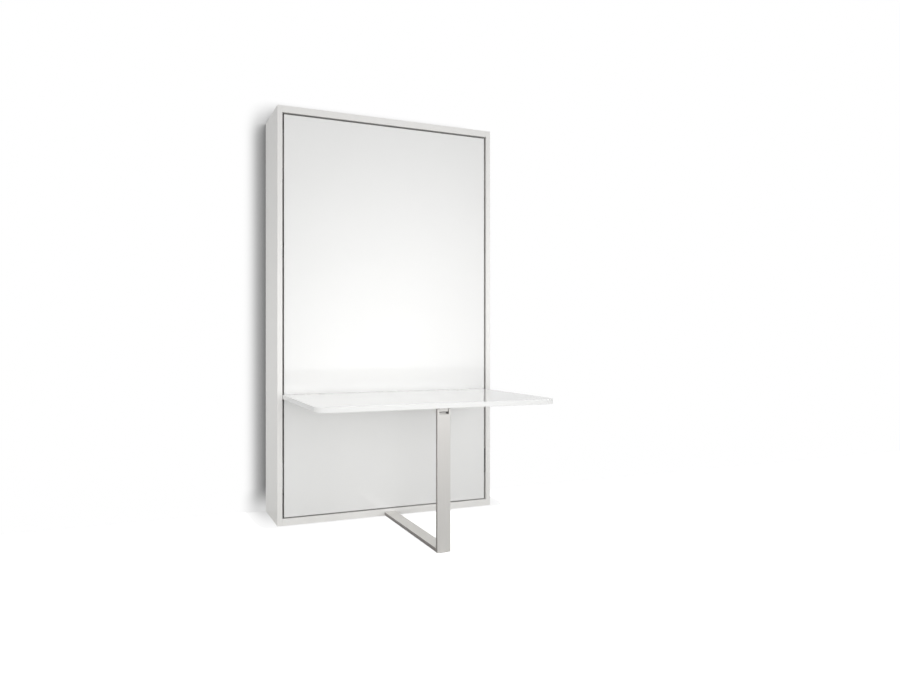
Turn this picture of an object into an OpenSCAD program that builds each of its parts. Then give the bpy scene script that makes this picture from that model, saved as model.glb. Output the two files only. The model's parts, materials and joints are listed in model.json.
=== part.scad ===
// Wall bed in a shallow cabinet, with a level desk hinged to its front panel.
// X runs along the width, the front faces -Y, Z is up. The origin is on the
// floor, in the middle of the overall footprint, with the desk down.

/* [Cabinet] */
// Overall width of the cabinet
cab_w = 1316; // [1250:2:1500]
// Overall height of the cabinet
cab_h = 2340; // [2300:5:2500]
// Depth of the cabinet from its front edges to the wall
cab_d = 396; // [380:2:460]
// Thickness of each side board
side_t = 28; // [24:1:30]
// Thickness of the top board
top_t = 38; // [30:1:45]
// Thickness of the base board
base_t = 39; // [32:1:42]
// Thickness of the back board
back_t = 8; // [6:1:12]
// Height of each rail that takes the wall bolts
wall_rail_h = 90; // [60:5:120]
// Thickness of each wall rail
wall_rail_t = 18; // [15:1:22]
// Distance between the two wall bolts of a rail
wall_bolt_gap = 900; // [600:10:1000]
// Radius of a wall bolt hole
wall_bolt_r = 4; // [3:0.5:5]
// Height of the lower wall rail above the floor
low_rail_z = 620; // [500:10:800]

/* [Bed] */
// How far the bed panel sits behind the cabinet's front edges
recess = 8; // [6:1:14]
// Thickness of the bed panel
panel_t = 20; // [18:1:24]
// Gap between the bed panel and each side board
gap_side = 10; // [9:0.5:14]
// Gap above the bed panel
gap_top = 8; // [7:0.5:12]
// Gap below the bed panel
gap_bottom = 5; // [4.5:0.5:14]
// Height of the pivot above the floor
pivot_z = 280; // [270:2:300]
// Distance of the pivot behind the panel's back
pivot_back = 12; // [11:0.5:16]
// Radius of the torsion bar that the bed turns on
bar_r = 8; // [6:0.5:9]
// Width of a frame tube
tube_w = 25; // [20:1:30]
// Depth of a frame tube
tube_d = 40; // [36:1:44]
// Wall of a frame tube
tube_wall = 2; // [1.5:0.5:3]
// Distance from the panel's edge in to the side tubes
frame_inset = 33; // [26:1:40]
// Distance from the panel's ends in to the end tubes
frame_end = 24; // [18:1:40]
// Width of a slat
slat_w = 62; // [50:1:70]
// Thickness of a slat
slat_t = 10; // [8:1:14]
// Number of slats
slat_n = 14; // [10:1:16]

/* [Mattress] */
// Room between the mattress and each side board
mattress_side = 30; // [24:1:40]
// Room between the mattress and the bed panel's upper edge
mattress_head = 210; // [190:5:300]
// Thickness of the mattress
mattress_t = 180; // [140:5:190]
// Distance from the bed panel's lower edge to the mattress
mattress_z = 40; // [36:2:60]
// Rounding of the mattress corners, seen from above
mattress_r = 60; // [30:5:90]
// Rounding of the mattress's long edges
mattress_edge = 18; // [8:1:30]
// Width of a mattress strap
strap_w = 40; // [25:1:60]
// Thickness of a mattress strap
strap_t = 1.5; // [1:0.5:3]
// Air between the mattress and what holds it
soft_gap = 0.3; // [0.3:0.1:0.5]

/* [Bed legs] */
// Width of a folding bed leg
bed_leg_w = 34; // [26:1:40]
// Thickness of a folding bed leg
bed_leg_t = 4; // [3:0.5:5]
// Distance from the panel's upper edge down to the leg pivot
bed_leg_down = 90; // [70:5:140]
// Radius of a leg's pivot pin
bed_leg_pin_r = 5; // [4:0.5:6]
// Height of the rubber shoe on a bed leg
shoe_h = 22; // [15:1:30]

/* [Desk] */
// Height of the desk's upper face
desk_z = 730; // [700:5:760]
// Thickness of the desk board
desk_t = 25; // [22:1:30]
// Gap between the desk board and each side board
desk_side_gap = 1; // [1:1:160]
// How far the desk reaches in front of the cabinet
desk_out = 845; // [835:5:870]
// Radius of the desk's two front corners
desk_r = 70; // [40:5:100]
// Length of one desk hinge
hinge_l = 90; // [60:3:120]
// Length of a hinge leaf, away from its pin
leaf_l = 24; // [18:1:24]
// Thickness of a hinge leaf
leaf_t = 2; // [1.5:0.5:2.5]
// Distance of the outer desk hinges from the desk's sides
hinge_inset = 161; // [80:1:260]

/* [Desk support] */
// Width of the support's flat tubes
strut_w = 70; // [62:1:80]
// Thickness of the support's flat tubes
strut_t = 20; // [18:1:22]
// Wall of the support's tubes
strut_wall = 2; // [1.5:0.5:2.5]
// Distance from the desk's front edge back to the post's face
post_set = 29; // [20:1:60]
// Gap between the post and the desk above it
post_gap = 5; // [4.5:0.1:6]
// Depth of the notch in the post's face
notch_h = 26; // [24:1:34]
// Width of that notch
notch_w = 50; // [46:1:54]
// Radius of the post's upper pin
post_pin_r = 4; // [3:0.5:4.5]
// Distance from the desk's underside down to that pin
post_pin_down = 17; // [17:0.5:20]
// Distance of the corner hinge's pin from both tubes
corner_off = 4; // [4:0.1:5]
// Gap between the floor tube and the cabinet
floor_tube_gap = 3; // [2:0.5:6]
// Thickness of the glides under the support
glide_t = 2; // [1.5:0.5:3]

/* [Fits] */
// Radial clearance of a turning pin
run_fit = 0.05; // [0.03:0.01:0.08]
// Clearance between parts that pass each other
pass_gap = 1; // [0.8:0.1:1.5]
// Radius of a hinge knuckle
knuckle_r = 3.4; // [3:0.1:3.6]
// Radius of a hinge pin
hinge_pin_r = 1.5; // [1.2:0.1:1.8]

/* [Hidden] */
$fn = 64;

// Colours
board_white = "#EDEDEB";
gloss_white = "#F7F7F6";
satin_steel = "#C9C6C2";
zinc = "#B4B6B8";
beech = "#D9BE93";
ticking = "#EFEDE6";
elastic = "#55585C";
nylon = "#303236";
rubber = "#2E2F31";

// Places, measured forward of the cabinet's front edges as n, across as x, and up as z
front_y = (desk_out - cab_d) / 2;
inner_x = cab_w / 2 - side_t;
panel_x = inner_x - gap_side;
panel_z0 = base_t + gap_bottom;
panel_z1 = cab_h - top_t - gap_top;
face_n = -recess;
panel_back_n = face_n - panel_t;
pivot_n = panel_back_n - pivot_back;
frame_n = panel_back_n - tube_d;
frame_x = panel_x - frame_inset;
frame_z0 = panel_z0 + frame_end;
frame_z1 = panel_z1 - frame_end;
slat_n1 = frame_n - slat_t;
slat_end = 31;
mattress_n1 = slat_n1 - soft_gap;
mattress_n0 = mattress_n1 - mattress_t;
mattress_z0 = panel_z0 + mattress_z;
mattress_z1 = panel_z1 - mattress_head;
mattress_l = mattress_z1 - mattress_z0;
mattress_w = 2 * (inner_x - mattress_side);
back_n = -cab_d + back_t;

// Plates and bushes of the bed's pivot
plate_gap = 4;
plate_t = gap_side - plate_gap;
plate_w = 60;
plate_h = 150;
plate_screw_r = 2.5;
plate_screw_dz = 55;
plate_screw_head = 4.5;
plate_head_t = 2.2;
bush_wall = 2.5;
clamp_ear = 3;
clamp_len = 50;

// Stops that the closed panel rests on
stop_z = 1500;
stop_h = 60;
stop_d = 22;
stop_bite = 8;
stop_reach = gap_side + stop_bite;

// Folding bed legs, which always hang down from their pins
bed_leg_z = panel_z1 - bed_leg_down;
bed_leg_n = frame_n + tube_d / 2;
bed_leg_len = pivot_z + (pivot_n - bed_leg_n);
bed_leg_x0 = panel_x + (gap_side - bed_leg_t) / 2;
bracket_t = 6;
bracket_h = 60;

// Desk hinges: the pins run just in front of the panel, level with the desk's face
knuckle_air = 0.6;
knuckle_room = 0.8;
knuckle_play = 0.2;
pin_n = face_n + knuckle_r + knuckle_air;
pin_z = desk_z;
desk_back_n = pin_n + pass_gap;
knuckle_gap = knuckle_r + knuckle_room;
desk_w = 2 * (inner_x - desk_side_gap);
hinge_x = desk_w / 2 - hinge_inset;
hinge_places = [-hinge_x, 0, hinge_x];

// Desk support
desk_under = desk_z - desk_t;
post_out = desk_out - post_set;
post_back_n = post_out - strut_t;
post_pin_n = post_out - strut_t / 2;
post_pin_z = desk_under - post_pin_down;
post_top = desk_under - post_gap;
floor_top = glide_t + strut_t;
corner_n = post_back_n - corner_off;
corner_z = floor_top + corner_off;
floor_n0 = floor_tube_gap;
floor_n1 = post_back_n - pass_gap;
lug_play = 2;
lug_w = notch_w - 2 * lug_play;
lug_t = 12;
lug_flange_t = 4;
lug_flange_w = 110;
lug_flange_d = 46;
lug_screw_r = 2.25;
lug_screw_dx = 42;
lug_screw_dn = 13;
lug_screw_len = 16;
cap_t = 2;
corner_hinge_l = 54;
corner_leaf_l = 30;
glide_w = 40;
glide_l = 50;
glide_inset = 60;

// Places of the straps, as shares of the mattress's length
strap_places = [0.3, 0.72];
// Heights of the wall bolts
upper_bolt_z = cab_h - top_t - wall_rail_h / 2;
lower_bolt_z = low_rail_z + wall_rail_h / 2;
// How far a cutting solid runs past the surface that it opens
over = 1;

function fy(n) = front_y - n;

// Block between two places in each direction
module block(x0, x1, n0, n1, z0, z1) {
    translate([x0, fy(n1), z0]) cube([x1 - x0, n1 - n0, z1 - z0]);
}

// Round rod along X
module rod_x(x0, x1, n, z, r) {
    translate([x0, fy(n), z]) rotate([0, 90, 0]) cylinder(h = x1 - x0, r = r);
}

// Round rod along the depth
module rod_n(x, n0, n1, z, r) {
    translate([x, fy(n0), z]) rotate([90, 0, 0]) cylinder(h = n1 - n0, r = r);
}

// Rectangular tube standing along Z, between two places
module tube_z(x0, x1, n0, n1, z0, z1, wall) {
    difference() {
        block(x0, x1, n0, n1, z0, z1);
        block(x0 + wall, x1 - wall, n0 + wall, n1 - wall, z0 - over, z1 + over);
    }
}

// Rectangular tube lying along X
module tube_x(x0, x1, n0, n1, z0, z1, wall) {
    difference() {
        block(x0, x1, n0, n1, z0, z1);
        block(x0 - over, x1 + over, n0 + wall, n1 - wall, z0 + wall, z1 - wall);
    }
}

// Half of a butt hinge. The pin runs along X through the origin. The leaf
// spans z0 to z0 + leaf_t and reaches out to y = -reach. Third 1 is the
// middle knuckle, thirds 0 and 2 are the outer ones.
module hinge_half(len, reach, z0, thirds, bore) {
    third = len / 3;
    difference() {
        union() {
            translate([-len / 2, -reach, z0]) cube([len, reach - knuckle_gap, leaf_t]);
            for (i = thirds) {
                x0 = -len / 2 + i * third + knuckle_play;
                wide = third - 2 * knuckle_play;
                translate([x0, -knuckle_gap - over, z0]) cube([wide, knuckle_gap + over, leaf_t]);
                translate([x0, 0, 0]) rotate([0, 90, 0]) cylinder(h = wide, r = knuckle_r);
            }
        }
        translate([-len / 2 - over, 0, 0]) rotate([0, 90, 0]) cylinder(h = len + 2 * over, r = bore);
    }
}

// ---- Cabinet ----

module side_board(s) {
    x0 = s > 0 ? inner_x : -cab_w / 2;
    color(board_white) block(x0, x0 + side_t, -cab_d, 0, 0, cab_h);
}

module top_board() {
    color(board_white) block(-inner_x, inner_x, -cab_d, 0, cab_h - top_t, cab_h);
}

module base_board() {
    color(board_white) block(-inner_x, inner_x, -cab_d, 0, 0, base_t);
}

module wall_bolt_holes(z) {
    for (s = [-1, 1])
        rod_n(s * wall_bolt_gap / 2, -cab_d - over, back_n + wall_rail_t + over, z, wall_bolt_r);
}

module back_board() {
    color(board_white) difference() {
        block(-inner_x, inner_x, -cab_d, back_n, base_t, cab_h - top_t);
        wall_bolt_holes(upper_bolt_z);
        wall_bolt_holes(lower_bolt_z);
    }
}

module wall_rail(bolt_z) {
    color(board_white) difference() {
        block(-inner_x, inner_x, back_n, back_n + wall_rail_t,
            bolt_z - wall_rail_h / 2, bolt_z + wall_rail_h / 2);
        wall_bolt_holes(bolt_z);
    }
}

// Steel plate on the side board. It carries one end of the torsion bar.
module pivot_plate(s) {
    x0 = s > 0 ? inner_x - plate_t : -inner_x;
    color(zinc) difference() {
        block(x0, x0 + plate_t, pivot_n - plate_w / 2, pivot_n + plate_w / 2,
            pivot_z - plate_h / 2, pivot_z + plate_h / 2);
        rod_x(x0 - over, x0 + plate_t + over, pivot_n, pivot_z, bar_r);
        for (d = [-1, 1]) {
            z = pivot_z + d * plate_screw_dz;
            head_x0 = s > 0 ? x0 - over : x0 + plate_t - plate_head_t;
            rod_x(x0 - over, x0 + plate_t + over, pivot_n, z, plate_screw_r);
            rod_x(head_x0, head_x0 + plate_head_t + over, pivot_n, z, plate_screw_head);
        }
    }
}

module plate_screws() {
    color(zinc) for (s = [-1, 1], d = [-1, 1]) {
        z = pivot_z + d * plate_screw_dz;
        a = s * inner_x;
        b = s * (inner_x - plate_t);
        c = s * (inner_x - plate_t + plate_head_t);
        rod_x(min(a, b), max(a, b), pivot_n, z, plate_screw_r);
        rod_x(min(b, c), max(b, c), pivot_n, z, plate_screw_head);
    }
}

module torsion_bar() {
    color(zinc) rod_x(-inner_x, inner_x, pivot_n, pivot_z, bar_r);
}

module panel_stops() {
    color(rubber) for (s = [-1, 1]) {
        x0 = s > 0 ? inner_x - stop_reach : -inner_x;
        block(x0, x0 + stop_reach, panel_back_n - soft_gap - stop_d, panel_back_n - soft_gap,
            stop_z, stop_z + stop_h);
    }
}

// ---- Bed ----

module bed_panel() {
    color(gloss_white) block(-panel_x, panel_x, panel_back_n, face_n, panel_z0, panel_z1);
}

module frame_tube_side(s) {
    x0 = s > 0 ? frame_x - tube_w : -frame_x;
    color(zinc) difference() {
        tube_z(x0, x0 + tube_w, frame_n, panel_back_n, frame_z0, frame_z1, tube_wall);
        rod_x(x0 - over, x0 + tube_w + over, pivot_n, pivot_z, bar_r + bush_wall);
    }
}

module frame_tube_end(z0) {
    x1 = frame_x - tube_w;
    color(zinc) tube_x(-x1, x1, frame_n, panel_back_n, z0, z0 + tube_w, tube_wall);
}

module frame_tube_middle() {
    color(zinc) difference() {
        tube_z(-tube_w / 2, tube_w / 2, frame_n, panel_back_n,
            frame_z0 + tube_w, frame_z1 - tube_w, tube_wall);
        rod_x(-tube_w, tube_w, pivot_n, pivot_z, bar_r + pass_gap);
    }
}

module pivot_bushes() {
    color(nylon) for (s = [-1, 1]) {
        x0 = s > 0 ? frame_x - tube_w : -frame_x;
        difference() {
            rod_x(x0, x0 + tube_w, pivot_n, pivot_z, bar_r + bush_wall);
            rod_x(x0 - over, x0 + tube_w + over, pivot_n, pivot_z, bar_r + run_fit);
        }
    }
}

// Collar on the middle tube that loads the torsion bar as the bed comes down. It
// meets the panel's back.
module torsion_clamp() {
    color(zinc) difference() {
        union() {
            rod_x(tube_w / 2, tube_w / 2 + clamp_len, pivot_n, pivot_z, pivot_back);
            block(tube_w / 2, tube_w / 2 + clamp_len, pivot_n - bar_r, pivot_n + bar_r,
                pivot_z - pivot_back - clamp_ear, pivot_z + pivot_back + clamp_ear);
        }
        rod_x(tube_w / 2 - over, tube_w / 2 + clamp_len + over, pivot_n, pivot_z, bar_r + run_fit);
    }
}

// Slats lie across the frame, spread evenly under the mattress
module slats() {
    z0 = mattress_z0 + slat_end;
    pitch = (mattress_l - 2 * slat_end - slat_w) / (slat_n - 1);
    color(beech) for (i = [0:slat_n - 1]) {
        block(-frame_x, frame_x, slat_n1, frame_n, z0 + i * pitch, z0 + i * pitch + slat_w);
    }
}

module mattress_outline(inset) {
    offset(r = mattress_r) offset(delta = -mattress_r - inset)
        square([mattress_w, mattress_l], center = true);
}

// Rounded block, with its long edges drawn in
module mattress() {
    mid_z = (mattress_z0 + mattress_z1) / 2;
    color(ticking) translate([0, fy(mattress_n1), mid_z]) rotate([-90, 0, 0]) hull() {
        translate([0, 0, mattress_edge]) linear_extrude(mattress_t - 2 * mattress_edge)
            mattress_outline(0, $fn = 32);
        linear_extrude(mattress_t) mattress_outline(mattress_edge, $fn = 32);
    }
}

// Elastic straps over the mattress. Their ends turn in to the frame's side tubes.
module mattress_straps() {
    x1 = mattress_w / 2 + soft_gap + strap_t;
    n0 = mattress_n0 - soft_gap - strap_t;
    n1 = frame_n + strap_t;
    color(elastic) for (p = strap_places) {
        z0 = mattress_z0 + p * mattress_l;
        difference() {
            block(-x1, x1, n0, n1, z0, z0 + strap_w);
            block(-x1 + strap_t, x1 - strap_t, n0 + strap_t, frame_n, z0 - over, z0 + strap_w + over);
            block(-frame_x, frame_x, n0 + strap_t, n1 + over, z0 - over, z0 + strap_w + over);
        }
    }
}

// Brackets on the side tubes that carry the leg pins
module bed_leg_brackets() {
    color(zinc) for (s = [-1, 1]) {
        x0 = s > 0 ? frame_x : -frame_x - bracket_t;
        difference() {
            block(x0, x0 + bracket_t, frame_n, panel_back_n,
                bed_leg_z - bracket_h / 2, bed_leg_z + bracket_h / 2);
            rod_x(x0 - over, x0 + bracket_t + over, bed_leg_n, bed_leg_z, bed_leg_pin_r);
        }
    }
}

module bed_leg_pins() {
    tip = bed_leg_x0 + bed_leg_t + pass_gap;
    color(zinc) for (s = [-1, 1]) {
        rod_x(s > 0 ? frame_x : -tip, s > 0 ? tip : -frame_x, bed_leg_n, bed_leg_z, bed_leg_pin_r);
    }
}

// ---- Desk hinges ----

module at_hinges() {
    for (x = hinge_places) translate([x, fy(pin_n), pin_z]) rotate([90, 0, 0]) children();
}

module panel_hinge_leaves() {
    color(board_white) at_hinges()
        hinge_half(hinge_l, leaf_l, face_n - pin_n, [0, 2], hinge_pin_r);
}

module desk_hinge_pins() {
    color(board_white) at_hinges() rotate([0, 90, 0])
        cylinder(h = hinge_l, r = hinge_pin_r, center = true);
}

module desk_hinge_leaves() {
    color(board_white) at_hinges() hinge_half(hinge_l, leaf_l, pass_gap, [1], hinge_pin_r + run_fit);
}

// ---- Desk ----

// Board with its two front corners rounded
module desk_outline() {
    side = desk_w / 2;
    arc_n = desk_out - desk_r;
    translate([-side, fy(arc_n)]) square([desk_w, arc_n - desk_back_n]);
    translate([-side + desk_r, fy(desk_out)]) square([desk_w - 2 * desk_r, desk_out - desk_back_n]);
    for (s = [-1, 1]) translate([s * (side - desk_r), fy(arc_n)]) circle(desk_r);
}

module lug_flange(grow) {
    block(-lug_flange_w / 2 - grow, lug_flange_w / 2 + grow, post_pin_n - lug_flange_d / 2 - grow,
        post_pin_n + lug_flange_d / 2 + grow, desk_under, desk_under + lug_flange_t);
}

module at_lug_screws() {
    for (s = [-1, 1], d = [-1, 1])
        translate([s * lug_screw_dx, fy(post_pin_n + d * lug_screw_dn), desk_under]) children();
}

module desk_board() {
    color(gloss_white) difference() {
        translate([0, 0, desk_under]) linear_extrude(desk_t) desk_outline();
        at_hinges() {
            translate([-hinge_l / 2 - knuckle_play, 0, 0]) rotate([0, 90, 0])
                cylinder(h = hinge_l + 2 * knuckle_play, r = knuckle_gap);
            translate([-hinge_l / 2, -leaf_l, 0]) cube([hinge_l, leaf_l + over, pass_gap + leaf_t]);
        }
        lug_flange(0);
        at_lug_screws() cylinder(h = lug_screw_len, r = lug_screw_r);
    }
}

// Lug set flush in the desk's underside. The post hangs from it.
module post_lug() {
    tongue = lug_t / 2;
    color(satin_steel) difference() {
        union() {
            lug_flange(0);
            block(-lug_w / 2, lug_w / 2, post_pin_n - tongue, post_pin_n + tongue,
                post_pin_z, desk_under + lug_flange_t);
            rod_x(-lug_w / 2, lug_w / 2, post_pin_n, post_pin_z, tongue);
        }
        rod_x(-lug_w, lug_w, post_pin_n, post_pin_z, post_pin_r + run_fit);
        at_lug_screws() translate([0, 0, -over]) cylinder(h = lug_flange_t + 2 * over, r = lug_screw_r);
    }
}

module lug_screws() {
    color(zinc) at_lug_screws() cylinder(h = lug_screw_len, r = lug_screw_r);
}

// ---- Support post ----

module support_post() {
    x = strut_w / 2;
    color(satin_steel) difference() {
        tube_z(-x, x, post_back_n, post_out, glide_t, post_top, strut_wall);
        block(-notch_w / 2, notch_w / 2, post_out - strut_wall - over, post_out + over,
            post_top - notch_h, post_top + over);
        rod_x(-x - over, x + over, post_pin_n, post_pin_z, post_pin_r);
    }
}

module post_pin() {
    color(satin_steel) rod_x(-strut_w / 2, strut_w / 2, post_pin_n, post_pin_z, post_pin_r);
}

module post_end_caps() {
    x = strut_w / 2 - strut_wall;
    color(nylon) block(-x, x, post_back_n + strut_wall, post_out - strut_wall,
        glide_t, glide_t + cap_t);
}

module at_corner() {
    translate([0, fy(corner_n), corner_z]) children();
}

module post_corner_leaf() {
    color(satin_steel) at_corner() rotate([-90, 0, 0])
        hinge_half(corner_hinge_l, corner_leaf_l, -corner_off, [0, 2], hinge_pin_r);
}

module corner_pin() {
    color(satin_steel) at_corner() rotate([0, 90, 0])
        cylinder(h = corner_hinge_l, r = hinge_pin_r, center = true);
}

module post_glide() {
    color(rubber) block(-glide_w / 2, glide_w / 2, post_back_n + strut_wall, post_out - strut_wall,
        0, glide_t);
}

// ---- Floor tube ----

module floor_tube() {
    x = strut_w / 2;
    color(satin_steel) difference() {
        block(-x, x, floor_n0, floor_n1, glide_t, floor_top);
        block(-x + strut_wall, x - strut_wall, floor_n0 - over, floor_n1 + over,
            glide_t + strut_wall, floor_top - strut_wall);
    }
}

module floor_corner_leaf() {
    color(satin_steel) at_corner() rotate([0, 0, 180])
        hinge_half(corner_hinge_l, corner_leaf_l, -corner_off, [1], hinge_pin_r + run_fit);
}

module floor_tube_caps() {
    x = strut_w / 2 - strut_wall;
    color(nylon) for (n = [floor_n0, floor_n1 - cap_t])
        block(-x, x, n, n + cap_t, glide_t + strut_wall, floor_top - strut_wall);
}

module floor_glides() {
    color(rubber) for (n = [floor_n0 + glide_inset, floor_n1 - glide_inset - glide_l])
        block(-glide_w / 2, glide_w / 2, n, n + glide_l, 0, glide_t);
}

// ---- Folding bed legs ----

module bed_leg(s) {
    x0 = s > 0 ? bed_leg_x0 : -bed_leg_x0 - bed_leg_t;
    half = bed_leg_w / 2;
    low = bed_leg_z - bed_leg_len + shoe_h;
    color(zinc) difference() {
        union() {
            block(x0, x0 + bed_leg_t, bed_leg_n - half, bed_leg_n + half, low, bed_leg_z);
            rod_x(x0, x0 + bed_leg_t, bed_leg_n, bed_leg_z, half);
        }
        rod_x(x0 - over, x0 + bed_leg_t + over, bed_leg_n, bed_leg_z, bed_leg_pin_r + run_fit);
    }
}

module bed_shoe(s) {
    x0 = s > 0 ? bed_leg_x0 : -bed_leg_x0 - bed_leg_t;
    low = bed_leg_z - bed_leg_len;
    half = bed_leg_w / 2;
    color(rubber) block(x0, x0 + bed_leg_t, bed_leg_n - half, bed_leg_n + half, low, low + shoe_h);
}

side_board(-1);  // side_board_left
side_board(1);  // side_board_right
top_board();
base_board();
back_board();
wall_rail(upper_bolt_z);  // wall_rail_upper
wall_rail(lower_bolt_z);  // wall_rail_lower
pivot_plate(-1);  // pivot_plate_left
pivot_plate(1);  // pivot_plate_right
plate_screws();
torsion_bar();
panel_stops();
bed_panel();
frame_tube_side(-1);  // frame_tube_left
frame_tube_side(1);  // frame_tube_right
frame_tube_end(frame_z0);  // frame_tube_head
frame_tube_end(frame_z1 - tube_w);  // frame_tube_foot
frame_tube_middle();
pivot_bushes();
torsion_clamp();
slats();
mattress();
mattress_straps();
bed_leg_brackets();
bed_leg_pins();
panel_hinge_leaves();
desk_hinge_pins();
desk_board();
desk_hinge_leaves();
post_lug();
lug_screws();
support_post();
post_pin();
post_end_caps();
post_corner_leaf();
corner_pin();
post_glide();
floor_tube();
floor_corner_leaf();
floor_tube_caps();
floor_glides();
bed_leg(-1);  // bed_leg_left
bed_shoe(-1);  // bed_shoe_left
bed_leg(1);  // bed_leg_right
bed_shoe(1);  // bed_shoe_right
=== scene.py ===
# %% [markdown]
# A wall bed stands in a shallow white cabinet. Its underside is the gloss panel that closes
# the cabinet, and a desk is hinged to that panel, carried at its front by a flat steel post
# on a flat steel floor tube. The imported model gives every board, tube and hinge at its true
# place, so it is loaded first and everything below is built onto it.

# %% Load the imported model
import json
import math
import bpy
import bmesh
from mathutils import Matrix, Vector

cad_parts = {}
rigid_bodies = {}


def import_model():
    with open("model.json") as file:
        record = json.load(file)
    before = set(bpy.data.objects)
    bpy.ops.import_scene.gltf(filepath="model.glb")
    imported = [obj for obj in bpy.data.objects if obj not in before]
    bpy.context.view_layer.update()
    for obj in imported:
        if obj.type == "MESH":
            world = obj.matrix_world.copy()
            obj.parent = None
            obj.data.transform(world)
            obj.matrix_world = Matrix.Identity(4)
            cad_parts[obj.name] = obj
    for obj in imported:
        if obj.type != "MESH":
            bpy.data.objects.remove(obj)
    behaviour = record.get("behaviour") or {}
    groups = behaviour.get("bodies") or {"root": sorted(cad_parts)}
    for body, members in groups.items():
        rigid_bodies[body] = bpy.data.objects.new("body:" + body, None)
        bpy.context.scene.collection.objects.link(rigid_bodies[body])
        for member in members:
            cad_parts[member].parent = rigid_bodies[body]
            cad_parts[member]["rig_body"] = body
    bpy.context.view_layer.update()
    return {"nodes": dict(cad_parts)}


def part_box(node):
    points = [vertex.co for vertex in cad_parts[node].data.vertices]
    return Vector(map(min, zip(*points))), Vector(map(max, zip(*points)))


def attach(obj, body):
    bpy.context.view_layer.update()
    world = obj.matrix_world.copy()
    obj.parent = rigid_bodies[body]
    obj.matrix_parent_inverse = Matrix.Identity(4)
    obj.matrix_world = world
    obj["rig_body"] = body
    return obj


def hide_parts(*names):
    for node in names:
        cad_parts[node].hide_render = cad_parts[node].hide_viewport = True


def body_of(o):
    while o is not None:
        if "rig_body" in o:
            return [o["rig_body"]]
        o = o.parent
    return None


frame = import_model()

# %% [markdown]
# Lengths are thought of in millimetres, as a joiner does, and Blender works in metres. Each
# tool acts on whatever is selected, so every step starts with nothing selected.

# %% Millimetres, and a clean start for each step
mm = 0.001

def fresh():
    """Leaves edit mode and deselects everything."""
    if bpy.context.object and bpy.context.object.mode != "OBJECT":
        bpy.ops.object.mode_set(mode="OBJECT")
    bpy.ops.object.select_all(action="DESELECT")

def only(piece):
    """Selects one piece and makes it the active one."""
    fresh()
    piece.select_set(True)
    bpy.context.view_layer.objects.active = piece

# %% [markdown]
# Most of the furniture is sawn board and cut tube, so a block between two corners is where
# those pieces start. Its place goes into the mesh at once, so the object stays at the origin.

# %% A block between two corners
def block(name, low, high):
    fresh()
    low, high = Vector(low), Vector(high)
    bpy.ops.mesh.primitive_cube_add(size=1, location=(low + high) / 2, scale=high - low)
    piece = bpy.context.object
    piece.name = name
    bpy.ops.object.transform_apply(location=True, rotation=True, scale=True)
    return piece

def pick_edges(piece, wanted):
    """Goes into edit mode with those edges selected whose ends pass the test, and counts."""
    only(piece)
    bpy.ops.object.mode_set(mode="EDIT")
    bpy.ops.mesh.select_mode(type="EDGE")
    bpy.ops.mesh.select_all(action="DESELECT")
    net = bmesh.from_edit_mesh(piece.data)
    for edge in net.edges:
        edge.select_set(wanted(edge.verts[0].co, edge.verts[1].co))
    bmesh.update_edit_mesh(piece.data)
    return sum(edge.select for edge in net.edges)

def pick_faces(piece, wanted):
    """Goes into edit mode with those faces selected whose centre and normal pass the test."""
    only(piece)
    bpy.ops.object.mode_set(mode="EDIT")
    bpy.ops.mesh.select_mode(type="FACE")
    bpy.ops.mesh.select_all(action="DESELECT")
    net = bmesh.from_edit_mesh(piece.data)
    for face in net.faces:
        face.select_set(wanted(face.calc_center_median(), face.normal))
    bmesh.update_edit_mesh(piece.data)

# %% [markdown]
# Colours are read off paint cards and photographs as sRGB hex, but the renderer adds light in
# linear values, so one function turns the one into the other. A material is a small tree of
# nodes, and one short function adds a node with its settings and its links.

# %% Colour and node helpers
def hex_colour(code):
    parts = [int(code[i:i + 2], 16) / 255 for i in (1, 3, 5)]
    line = [c / 12.92 if c <= 0.04045 else ((c + 0.055) / 1.055) ** 2.4 for c in parts]
    return (*line, 1.0)

def add_node(tree, kind, inputs=(), **settings):
    made = tree.nodes.new(kind)
    for key, value in settings.items():
        setattr(made, key, value)
    for socket, value in dict(inputs).items():
        if isinstance(value, bpy.types.NodeSocket):
            tree.links.new(value, made.inputs[socket])
        else:
            made.inputs[socket].default_value = value
    return made

def new_material(name):
    material = bpy.data.materials.new(name)
    material.use_nodes = True
    tree = material.node_tree
    tree.nodes.clear()
    surface = add_node(tree, "ShaderNodeBsdfPrincipled")
    add_node(tree, "ShaderNodeOutputMaterial", {"Surface": surface.outputs[0]})
    place = add_node(tree, "ShaderNodeTexCoord").outputs["Object"]
    print("finish:", name)
    return material, tree, surface, place

# %% [markdown]
# The bed panel and the desk are MDF sprayed with white lacquer and polished to a high gloss.
# The clear top film mirrors softly, and a sprayed film always dries with a faint orange peel,
# a ripple some 4 mm long and a few thousandths of a millimetre high. A coat layer over a
# white base gives the film, and a very weak bump gives the ripple.

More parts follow.
